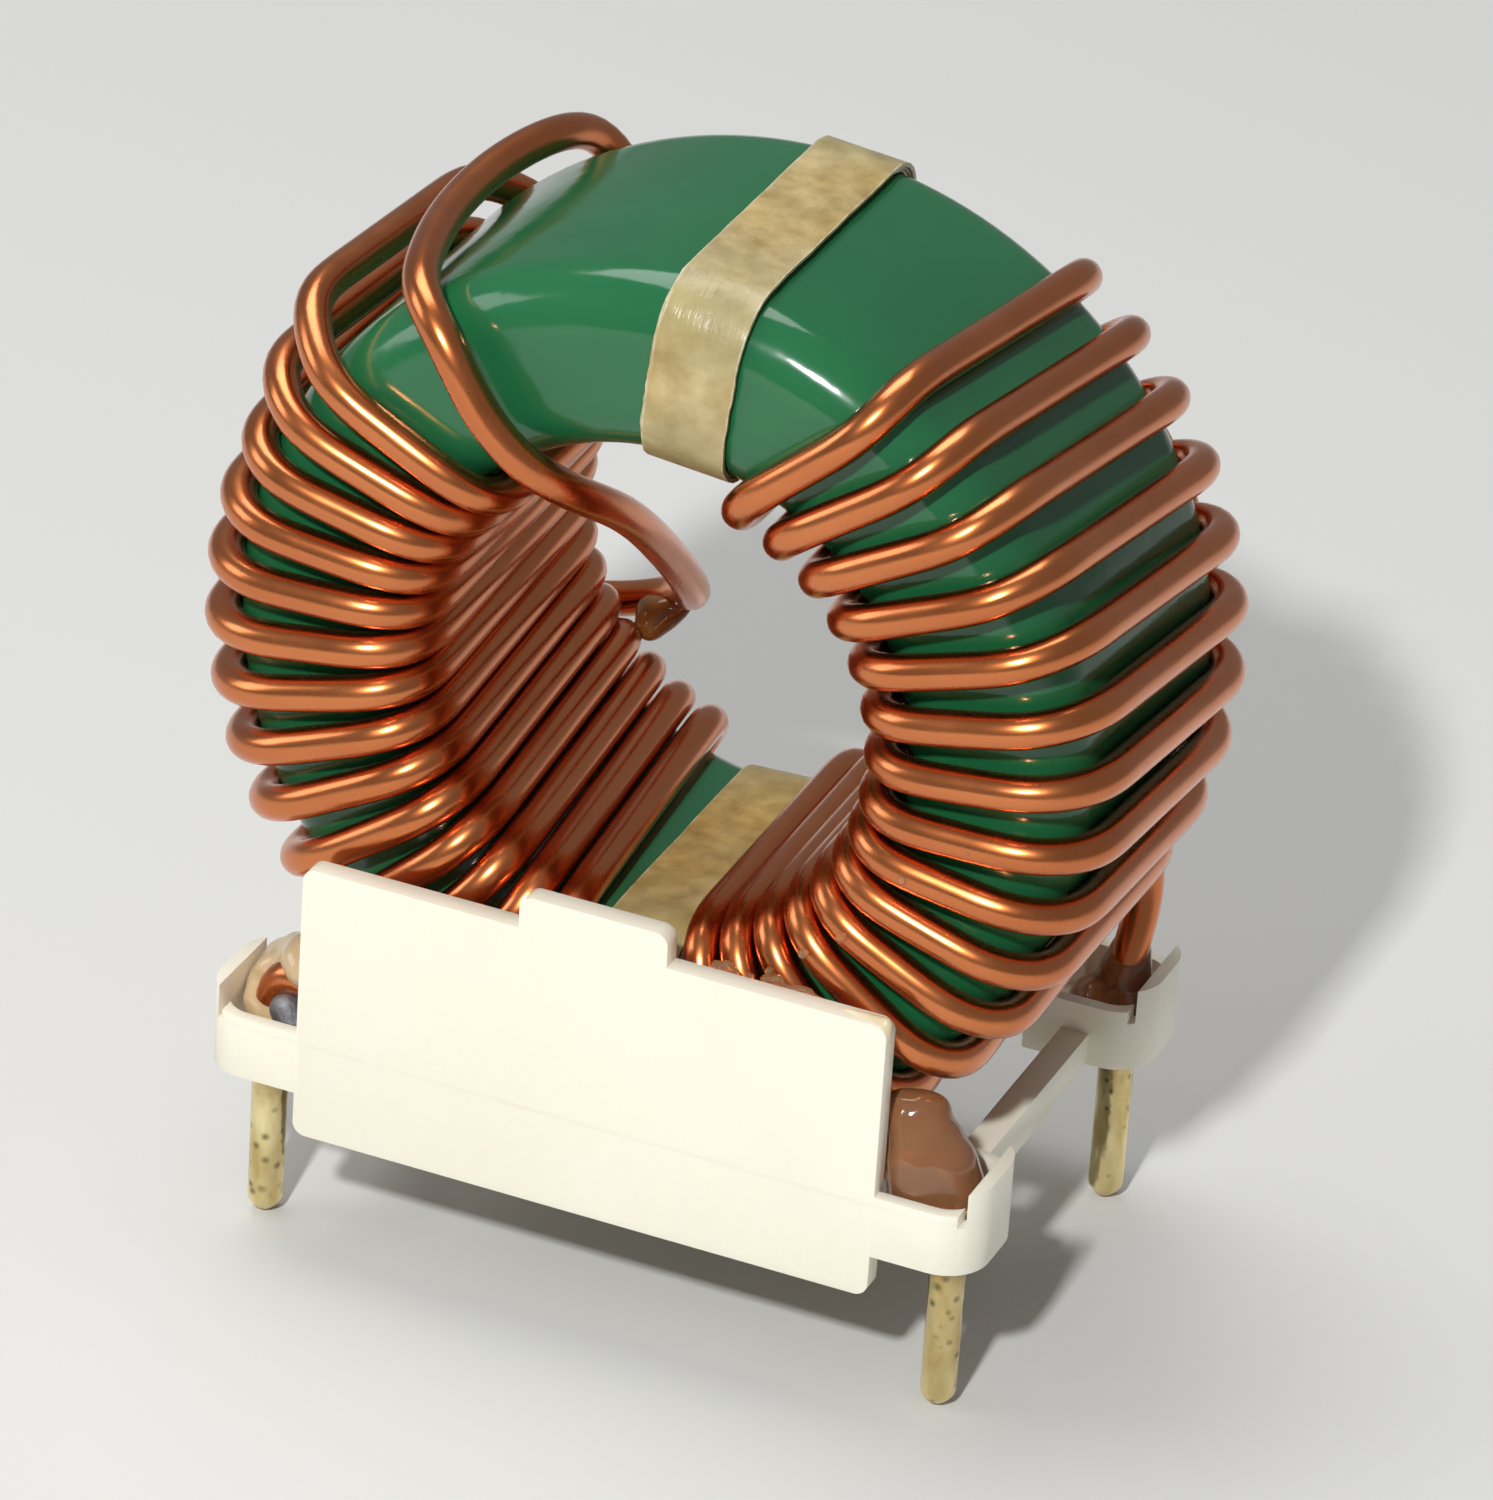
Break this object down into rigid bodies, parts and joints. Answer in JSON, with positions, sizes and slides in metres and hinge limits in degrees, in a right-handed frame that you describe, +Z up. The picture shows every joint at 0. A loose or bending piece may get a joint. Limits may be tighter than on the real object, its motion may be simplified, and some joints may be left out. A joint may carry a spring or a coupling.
{
  "type": "toroidal inductor",
  "caption": "Upright toroidal inductor: enamelled copper wire wound in two halves on a green coated ring core, held in a moulded base frame with pin terminals.",
  "frame": {"origin": "centre of the four-pin pattern, at the seating plane on which the lower edges of the two plates rest", "axes": "+Z up from the board, +X along the long side of the pin pattern, -Y out of the front plate; the ring's axis is along Y"},
  "size_m": [0.0419, 0.0248, 0.0488],
  "materials": {
    "core_coat": "glossy green epoxy coat over the pressed core",
    "glass_tape": "beige glass-cloth tape, slightly glazed",
    "enamelled_wire": "red-brown enamelled copper wire, glossy",
    "frame_plastic": "cream-white moulded nylon, satin",
    "tinned_pin": "solder-tinned copper, satin with dark flux specks",
    "adhesive": "brown translucent set adhesive, glossy",
    "dark_adhesive": "dark brown dab of set adhesive"
  },
  "bodies": {
    "root": {"core": "core_coat", "separator_tape_top": "glass_tape", "separator_tape_bottom": "glass_tape", "winding_left": "enamelled_wire", "winding_right": "enamelled_wire", "base_frame": "frame_plastic", "pin_front_left": "tinned_pin", "pin_front_right": "tinned_pin", "pin_rear_left": "tinned_pin", "pin_rear_right": "tinned_pin", "adhesive_front_left": "adhesive", "adhesive_front_right": "adhesive", "adhesive_rear_left": "adhesive", "adhesive_rear_right": "adhesive", "bore_adhesive_dab": "dark_adhesive"}
  },
  "joints": []
}
